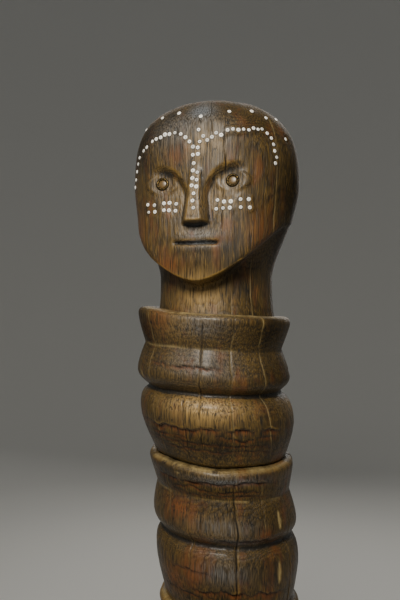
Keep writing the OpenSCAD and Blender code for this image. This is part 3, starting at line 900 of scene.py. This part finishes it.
def flecked_material(name, ground, fleck, per_metre, detail, spread, bump, gloss, fixed):
    """One colour flecked or layered with another. The spread says between which values of the
    pattern the flecks grow, and from what amount to what. Bump is its strength and height in
    metres, and gloss the roughness from clear ground to full fleck, where it varies."""
    material, tree, shader = new_material(name)
    where = add_node(tree, "ShaderNodeTexCoord").outputs["Object"]
    at = add_node(tree, "ShaderNodeMapping", inputs={"Vector": where, "Scale": per_metre})
    pattern = add_node(tree, "ShaderNodeTexNoise", inputs={
        "Vector": at.outputs[0], "Scale": 1.0, "Detail": detail}).outputs[0]
    flecks = add_node(tree, "ShaderNodeMapRange", inputs={
        0: pattern, **dict(enumerate(spread, 1))}).outputs[0]
    base = add_node(tree, "ShaderNodeMix", {"data_type": "RGBA"},
                    {0: flecks, 6: tuple(ground), 7: tuple(fleck)})
    tree.links.new(base.outputs[2], shader.inputs["Base Color"])
    if gloss:
        dull = add_node(tree, "ShaderNodeMapRange", inputs={
            0: flecks, 1: 0.0, 2: 1.0, 3: gloss[0], 4: gloss[1]})
        tree.links.new(dull.outputs[0], shader.inputs["Roughness"])
    if bump:
        skin = add_node(tree, "ShaderNodeBump", inputs={
            "Strength": bump[0], "Distance": bump[1], "Height": pattern})
        tree.links.new(skin.outputs[0], shader.inputs["Normal"])
    for socket, value in fixed.items():
        shader.inputs[socket].default_value = value
    return material


def mastic_material(colours):
    """Tree resin kneaded with soot and pressed in warm: dull black-brown, with a skin of lumps
    about 1.5 mm across."""
    return flecked_material(
        "soot_mastic", colours.mastic, colours.late_wood, (650, 650, 650), 3.0,
        (0.4, 0.75, 0.0, 0.5), (0.6, 0.0004), None, {"Roughness": 0.62})


def brass_material(colours):
    """Sheet brass bent into a ring and left to tarnish: a brown film in spots about 2 mm across,
    bright where it is rubbed."""
    return flecked_material(
        "tarnished_brass", colours.brass, colours.soot, (480, 480, 480), 4.0,
        (0.38, 0.62, 0.25, 0.92), (0.3, 0.0003), (0.3, 0.65), {"Metallic": 0.85})


def horn_material(colours):
    """Pale horn sawn into a plug and rubbed smooth: waxy yellow, in warped layers 0.8 mm apart."""
    return flecked_material(
        "polished_horn", colours.horn, colours.late_wood, (300, 300, 1250), 2.0,
        (0.35, 0.7, 0.0, 0.6), None, None, {"Roughness": 0.34, "IOR": 1.54})


def paper_material(colours):
    """Matt studio paper."""
    material, _, shader = new_material("studio_paper")
    shader.inputs["Base Color"].default_value = tuple(colours.paper)
    shader.inputs["Roughness"].default_value = 0.9
    return material


MATERIALS = {
    "waxed_hardwood": hardwood_material,
    "weathered_hardwood": weathered_hardwood_material,
    "drawn_white_glass": bead_glass_material,
    "soot_mastic": mastic_material,
    "tarnished_brass": brass_material,
    "polished_horn": horn_material,
    "studio_paper": paper_material,
}


def material_of(name):
    """The material of that name, made at its first use in the colours set in the scene."""
    return bpy.data.materials.get(name) or MATERIALS[name](bpy.context.scene.post_colours)


# ---- Operators ----


def post_sizes(scene):
    """Every size of the post by its name."""
    return {**sizes(scene.post_head), **sizes(scene.post_stack), **sizes(scene.post_beads)}


# Round an inlay the wood is level with its seat up to the first radius, and from there
# flows back into the carved surface up to the second, in mm
BEAD_LEVEL = (3.3, 7.5)
EYE_LEVEL = (9.5, 17.0)


def seats(size):
    """Every inlay's place, with the two radii of its level wood."""
    found = [(*place, *BEAD_LEVEL) for node in BEAD_NODES
             for place in inlay_places(node, size["bead_seat"])]
    found += [(*place, *EYE_LEVEL) for side in EYE_SIDES
              for place in inlay_places("eye_ring_" + side, size["eye_seat"])]
    return found


class POST_OT_head(bpy.types.Operator):
    """Carve the head and neck"""

    bl_idname = "post.head"
    bl_label = "Head and Neck"

    columns = 448
    row_h = 1.45
    dome_rows = 96
    crown_drop = 3.0     # mm that the hand-cut crown lies under the plain dome
    ear_fuller = 2.6     # mm that the side stands out behind the left ear
    seats_reach = 19.0   # mm, a little more than the widest level wood round an inlay

    def execute(self, context):
        size = post_sizes(context.scene)
        head = Head(size)
        bm = spin_log(self.rows(head), self.columns)
        marks = mark_layers(bm)
        for v in bm.verts:
            angle = math.atan2(v.co.x, -v.co.y)
            flat_r, h = math.hypot(v.co.x, v.co.y), v.co.z
            h = head.bend_row(angle, h)
            angle, sink, v[marks["crack"]], v[marks["wax_fill"]] = follow_cracks(angle, h)
            for mark in STAINS_AND_PAINTED_LIGHT:
                v[marks[mark]] = stain_and_painted_light(mark, angle, h)
            r = 0.0
            if flat_r > 0.01:
                cut = smooth_step(0, 30, flat_r) * (hand_cut(angle, h, 3.0) - sink)
                r = max(0.0, head.radius(angle, h) + cut)
            uneven = 0.8 * noise.noise((math.sin(angle) * 3, math.cos(angle) * 3, 8.0))
            z = h + uneven * smooth_step(240, 262, h) - self.crown_drop * smooth_step(218, 266, h)
            beside_ear = bell(turn_gap(angle, math.radians(102)), 0.55)
            r += self.ear_fuller * beside_ear * bell(h - 168, 62)
            v.co = (r * math.sin(angle), -r * math.cos(angle), z + COLLAR)
        self.level_seats(bm, seats(size))
        mark_edges(bm)
        add_piece(bm, "head_and_neck", material_of("waxed_hardwood"), "carved_post")
        return {"FINISHED"}

    def rows(self, head):
        """The profile up the neck and over the crown, closed at both ends."""
        points = [(0.0, head.under), (head.core, head.under)]
        h = head.under
        while h < head.wide:
            points.append((head.skull(h), h))
            h += self.row_h
        for i in range(self.dome_rows):
            rise = math.sin(math.pi / 2 * i / self.dome_rows) ** 0.85
            h = head.wide + head.dome_h * rise
            points.append((head.skull(h), h))
        points.append((0.0, head.top))
        return points

    def level_seats(self, bm, places):
        """Brings the wood level with each inlay's seat."""
        tree = kdtree.KDTree(len(places))
        for i, place in enumerate(places):
            tree.insert(place[0], i)
        tree.balance()
        for v in bm.verts:
            if v.co.y > 40 and v.co.z < POST_H - 60:   # no inlay on the back of the head
                continue
            for point, i, gap in tree.find_range(v.co, self.seats_reach):
                _, out, inner, outer = places[i]
                if gap < outer:
                    off = (v.co - point).dot(out)
                    v.co -= out * off * smooth_step(outer, inner, gap)


class POST_OT_rings(bpy.types.Operator):
    """Carve the stack of rings"""

    bl_idname = "post.rings"
    bl_label = "Carved Rings"

    # Each length: its name, first unit, unit after its last, columns round, mm between rows
    lengths = (("upper_rings", 0, 2, 384, 1.85), ("lower_rings", 2, 4, 352, 2.1))
    core = 62.0   # radius of the hidden ends that reach into the next length
    hidden = 8    # mm that they reach

    def execute(self, context):
        size = post_sizes(context.scene)
        core = self.core
        for name, first, last, columns, step in self.lengths:
            profile = stack_profile(first, last, size["unit_h"], step)
            top, bottom = profile[0][1], profile[-1][1]
            above, below = top + self.hidden, bottom - self.hidden
            bm = spin_log([(0.0, above), (core, above), (core, top), *profile,
                           (core, bottom), (core, below), (0.0, below)], columns)
            self.carve(bm, size)
            mark_edges(bm)
            add_piece(bm, name, material_of("waxed_hardwood"), "carved_post")
        return {"FINISHED"}

    def carve(self, bm, size):
        """Gives the turned rings their hand-cut shape, slope, cracks, flakes and chips."""
        marks = mark_layers(bm)
        slope = math.tan(size["ring_tilt"])
        for v in bm.verts:
            angle = math.atan2(v.co.x, -v.co.y)
            r, drop = math.hypot(v.co.x, v.co.y), -v.co.z
            if r > self.core + 1:
                angle, sink, dark, pale = follow_cracks(angle, -drop)
                flake, edge, torn = flaking(angle, drop)
                rise, swell = straying(angle, drop)
                chip = chipping(angle, drop)
                for mark in STAINS_AND_PAINTED_LIGHT:
                    v[marks[mark]] = stain_and_painted_light(mark, angle, -drop)
                v[marks["torn"]] = max(torn, v[marks["torn"]])
                v[marks["crack"]] = max(dark, edge)
                bare = 0.8 * smooth_step(0.1, 1.2, chip)
                v[marks["wax_fill"]] = max(pale, dusting(angle, drop), bare)
                r += hand_cut(angle, drop, 11.0) + swell - sink - flake - chip
                x, y = math.sin(angle), math.cos(angle)
                drop += rise + 1.7 * noise.noise((x * 1.8, y * 1.8, drop / 60))
                drop += 0.5 * noise.noise((x * 7, y * 7, drop / 30))
            x = r * math.sin(angle)
            z = COLLAR - drop
            v.co = (x + sway(z, size["sway_max"]) + lean(drop), -r * math.cos(angle), z - x * slope)


class POST_OT_foot(bpy.types.Operator):
    """Carve the plain foot that stands on the ground"""

    bl_idname = "post.foot"
    bl_label = "Planted Foot"

    columns = 320
    row_h = 3.2
    shaft = 84.0    # radius of the foot under the rings
    core = 60.0     # radius of its hidden top, which reaches into the rings
    edge_h = 6.0    # height of its worn lower edge
    strips = 23     # strips of adze cuts round it

    def execute(self, context):
        size = post_sizes(context.scene)
        bm = spin_log(self.rows(size), self.columns)
        marks = mark_layers(bm)
        for v in bm.verts:
            angle = math.atan2(v.co.x, -v.co.y)
            r, z = math.hypot(v.co.x, v.co.y), v.co.z
            if r > self.core + 1:
                angle, sink, v[marks["crack"]], _ = follow_cracks(angle, z - COLLAR)
                adze = self.adze_marks(angle, z)
                ragged = 1.8 * noise.noise((math.sin(angle) * 7, math.cos(angle) * 7, z / 24))
                v[marks["torn"]] = 0.3 * smooth_step(0.5, 0.85, adze)
                # Darker towards the ground and where the adze cuts are shallow
                v[marks["murk"]] = 0.7 * smooth_step(46, 4, z) + 0.3 * smooth_step(0.5, 0.1, adze)
                r += hand_cut(angle, z, 23.0) - sink - 1.6 * adze
                r += min(0.0, ragged * smooth_step(60, 0, z))
            shift = sway(z, size["sway_max"]) * smooth_step(0, 120, z)
            v.co = (r * math.sin(angle) + shift, -r * math.cos(angle), z)
        mark_edges(bm)
        add_piece(bm, "planted_foot", material_of("weathered_hardwood"), "carved_post")
        return {"FINISHED"}

    def rows(self, size):
        """The outline from the hidden top down the shaft and in under the foot."""
        top = COLLAR - 4 * size["unit_h"] - 3
        shaft, foot_r = self.shaft, size["foot_r"]
        rows = [(0.0, top + 4), (self.core, top + 4)]
        rows += [(shaft - inside, top + up) for inside, up in ((9, 3), (4, 1), (1, -3))]
        z = top - 6
        while z > self.edge_h + 3:
            rows.append((mix(shaft, foot_r, (1 - z / top) ** 1.3), z))
            z -= self.row_h
        worn = ((0, self.edge_h), (0.6, 3.0), (1.6, 1.2), (3.4, 0.0), (12, 0.0))
        rows += [(foot_r - inside, z) for inside, z in worn]
        return [*rows, (0.0, 0.0)]

    def adze_marks(self, angle, z):
        """Shallow scalloped cuts, 24 mm wide and about 60 mm long, in staggered rows."""
        across = angle * self.strips / (2 * math.pi)
        strip = math.floor(across)
        u = across - strip - 0.5
        strip %= self.strips
        along = z / 58 + 0.37 * strip + 0.3 * noise.noise((strip * 1.7, 0.0, z / 90))
        w = along - math.floor(along)
        return max(0.0, 1 - 4 * u * u) * (1 - w) ** 0.6 * 0.9


class POST_OT_beads(bpy.types.Operator):
    """Make the glass beads of every line"""

    bl_idname = "post.beads"
    bl_label = "Bead Lines"

    def execute(self, context):
        size = post_sizes(context.scene)
        for node in BEAD_NODES:
            bm = bmesh.new()
            grime = bm.verts.layers.float.new("grime")
            for i, place in enumerate(inlay_places(node, size["bead_seat"])):
                self.add_bead(bm, size, place, i, grime)
            add_piece(bm, "glass_" + node, material_of("drawn_white_glass"), node)
        return {"FINISHED"}

    def add_bead(self, bm, size, place, i, grime):
        """One bead: a short drawn tube whose cut ends have been tumbled round."""
        point = place[0]
        grow = 1 + 0.26 * noise.noise((i * 3.7, point.x, point.z))
        r, hole = size["bead_d"] / 2 * grow, 0.7 * size["bead_hole"] / 2
        dirty = 0.35 * smooth_step(0.12, 0.4, noise.noise((point.z, i * 2.3, point.x)))
        low, high = -size["bead_seat"], size["bead_h"] - size["bead_seat"]
        outline = (
            (hole, low + 0.2), (r - 0.5, low), (r, low + 0.7), (r, high - 1.1), (r - 0.28, high - 0.42),
            (r - 0.85, high - 0.04), (mix(hole, r, 0.36), high), (hole + 0.14, high - 0.22),
            (hole, high - 0.7),
        )
        verts = spin_line(bm, [(x, 0.0, z) for x, z in outline], 16, ring=True)
        for v in verts:
            # Painted shade down the hole, in the mastic's colour; the rest of the mark is dirt
            in_hole = smooth_step(hole + 0.22, hole + 0.02, math.hypot(v.co.x, v.co.y))
            v[grime] = max(dirty, 0.6 * in_hole)
        tipped = Matrix.Rotation(0.16 * noise.noise((i * 1.3, point.z, 4.0)), 4, "X")
        bmesh.ops.transform(bm, matrix=tipped, verts=verts)
        stand_on(bm, verts, place)


class POST_OT_mastic(bpy.types.Operator):
    """Press mastic round every bead and eye ring"""

    bl_idname = "post.mastic"
    bl_label = "Mastic"

    def execute(self, context):
        size = post_sizes(context.scene)
        # Each kind of bed: the nodes it holds, their word for what is in it, radius, seat, columns
        kinds = (
            (BEAD_NODES, "beads", size["bead_d"] / 2, size["bead_seat"], 14),
            (["eye_ring_" + side for side in EYE_SIDES], "ring", size["eye_d"] / 2, size["eye_seat"], 36),
        )
        for nodes, held, r, seat, columns in kinds:
            for node in nodes:
                bm = bmesh.new()
                for place in inlay_places(node, seat):
                    self.add_bed(bm, place, r, seat, columns)
                bed = node.replace(held, "mastic")
                add_piece(bm, "pressed_" + bed, material_of("soot_mastic"), bed)
        return {"FINISHED"}

    def add_bed(self, bm, place, r, seat, columns):
        """A collar of mastic squeezed up between an inlay and the wood."""
        outline = ((-0.5, -seat), (0.3, -seat), (0.36, -0.3), (0.3, 0.1), (0.04, 0.26), (-0.5, 0.2))
        verts = spin_line(bm, [(r + x, 0.0, z) for x, z in outline], columns, ring=True)
        for v in verts:
            squeezed = 0.16 * noise.noise((v.co + place[0]) / 1.6)
            v.co.x *= 1 + squeezed / r
            v.co.y *= 1 + squeezed / r
        stand_on(bm, verts, place)


class POST_OT_eyes(bpy.types.Operator):
    """Make the eye rings and their plugs"""

    bl_idname = "post.eyes"
    bl_label = "Eye Inlays"

    ring_out = 1.3    # mm that the ring stands out of the wood
    plug_rim = -0.25  # height of the plug's edge against the wood, in mm
    plug_dome = 0.9   # rise of its rubbed face above that edge, in mm

    def execute(self, context):
        size = post_sizes(context.scene)
        for side in EYE_SIDES:
            ring, plug = "eye_ring_" + side, "eye_plug_" + side
            place = inlay_places(ring, size["eye_seat"])[0]
            bm = bmesh.new()
            self.add_ring(bm, size, place)
            add_piece(bm, "brass_" + ring, material_of("tarnished_brass"), ring)
            bm = bmesh.new()
            self.add_plug(bm, size, place)
            add_piece(bm, "horn_" + plug, material_of("polished_horn"), plug)
        return {"FINISHED"}

    def add_ring(self, bm, size, place):
        """A ring of sheet brass with a rounded face, a little dented."""
        r, hole, low, high = size["eye_d"] / 2, size["plug_d"] / 2, -size["eye_seat"], self.ring_out
        outline = (
            (hole, low), (r - 0.4, low), (r, low + 0.4), (r, high - 1.3), (r - 0.3, high - 0.55),
            (r - 0.95, high - 0.1), (r - 1.7, high), (hole + 1.0, high - 0.08),
            (hole + 0.3, high - 0.42), (hole, high - 0.9),
        )
        verts = spin_line(bm, [(x, 0.0, z) for x, z in outline], 48, ring=True)
        for v in verts:
            dent = 0.12 * noise.noise(v.co / 2.2)
            v.co.z += dent if v.co.z > 0 else 0
        stand_on(bm, verts, place)

    def add_plug(self, bm, size, place):
        """A plug of horn with a low dome."""
        r, low, rim = size["plug_d"] / 2 - 0.05, -size["eye_seat"], self.plug_rim
        outline = [(0.0, 0.0, low), (r, 0.0, low), (r, 0.0, rim)]
        for t in range(15, 90, 15):
            t = math.radians(t)
            outline.append((r * math.cos(t), 0.0, rim + self.plug_dome * math.sin(t)))
        outline.append((0.0, 0.0, rim + self.plug_dome))
        stand_on(bm, spin_line(bm, outline, 40), place)


class POST_OT_stage(bpy.types.Operator):
    """Lay the floor and set the lights and the camera"""

    bl_idname = "post.stage"
    bl_label = "Stage"

    camera_turn = 15.0        # degrees round the post from its front towards +X
    camera_away = 845.0       # mm from the post's axis
    lens = 39.0               # mm on a 36 mm sensor's long side
    aim_left = 1.41           # degrees that the view is turned left of the post
    aim_up = 1.15             # degrees that the view is tipped up

    # Each light: name, turn and rise in degrees, distance and size in metres, watts, colour
    lights = (
        ("key", 5, 36, 1.15, 0.34, 16, (1.0, 0.95, 0.86)),
        ("fill", -60, 18, 2.8, 2.0, 3, (0.95, 0.97, 1.0)),
        ("back", 188, 26, 2.8, 2.4, 24, (1.0, 0.97, 0.92)),
    )
    room_tone = (0.95, 0.97, 1.0, 1.0)
    room_light = 0.14

    def execute(self, context):
        scene = context.scene
        # The floor, in metres: flat for 3 m all round, then swept up behind into a backdrop
        bm = bmesh.new()
        sweep = [(0.0, 0.0, 0.0), (1.5, 0.0, 0.0), (3.0, 0.0, 0.0)]
        sweep += [(3.0 + 0.5 * i, 0.0, 5.6 * (i / 10) ** 2.2) for i in range(1, 16)]
        spin_line(bm, sweep, 96)
        floor = add_object(bm, "floor", material_of("studio_paper"))

        turn = math.radians(self.camera_turn)
        camera = bpy.data.objects.new("camera", bpy.data.cameras.new("camera"))
        camera.data.lens = self.lens
        camera.data.clip_start = 0.01
        away = self.camera_away * MM
        camera.location = (away * math.sin(turn), -away * math.cos(turn), COLLAR * MM)
        camera.rotation_euler = (math.radians(90 + self.aim_up), 0, turn + math.radians(self.aim_left))
        scene.collection.objects.link(camera)
        scene.camera = camera

        target = Vector((0, 0, (COLLAR - 40) * MM))
        for light in self.lights:
            self.add_light(scene, target, *light)

        world = bpy.data.worlds.new("studio")
        world.use_nodes = True
        back = world.node_tree.nodes["Background"]
        back.inputs["Color"].default_value = self.room_tone
        back.inputs["Strength"].default_value = self.room_light
        scene.world = world
        return {"FINISHED"}

    def add_light(self, scene, target, name, turn, rise, away, size, power, tone):
        """A soft square light at an angle round and above the target."""
        lamp = bpy.data.lights.new(name, "AREA")
        lamp.size, lamp.energy, lamp.color = size, power, tone
        turn, rise = math.radians(turn), math.radians(rise)
        flat = math.cos(rise)
        way = Vector((math.sin(turn) * flat, -math.cos(turn) * flat, math.sin(rise)))
        light = bpy.data.objects.new(name, lamp)
        light.location = target + way * away
        light.rotation_euler = way.to_track_quat("Z", "Y").to_euler()
        scene.collection.objects.link(light)


class POST_PT_panel(bpy.types.Panel):
    """Lists the pieces of the post and its sizes"""

    bl_idname = "POST_PT_panel"
    bl_label = "Carved Post"
    bl_space_type = "VIEW_3D"
    bl_region_type = "UI"
    bl_category = "Carved Post"

    def draw(self, context):
        for operator in OPERATORS:
            self.layout.operator(operator.bl_idname)
        for name in GROUPS:
            group = getattr(context.scene, name)
            box = self.layout.box()
            for prop in group.__annotations__:
                box.prop(group, prop)


GROUPS = {
    "post_head": PostHeadSizes,
    "post_stack": PostStackSizes,
    "post_beads": PostBeadSizes,
    "post_colours": PostColours,
}
OPERATORS = (
    POST_OT_head, POST_OT_rings, POST_OT_foot, POST_OT_beads, POST_OT_mastic, POST_OT_eyes,
    POST_OT_stage,
)


def register():
    for name, group in GROUPS.items():
        bpy.utils.register_class(group)
        setattr(bpy.types.Scene, name, bpy.props.PointerProperty(type=group))
    for kind in (*OPERATORS, POST_PT_panel):
        bpy.utils.register_class(kind)


def unregister():
    for kind in (POST_PT_panel, *reversed(OPERATORS)):
        bpy.utils.unregister_class(kind)
    for name, group in reversed(GROUPS.items()):
        delattr(bpy.types.Scene, name)
        bpy.utils.unregister_class(group)


def main():
    register()
    for name in ("head", "rings", "foot", "beads", "mastic", "eyes", "stage"):
        getattr(bpy.ops.post, name)()


if __name__ == "__main__":
    main()
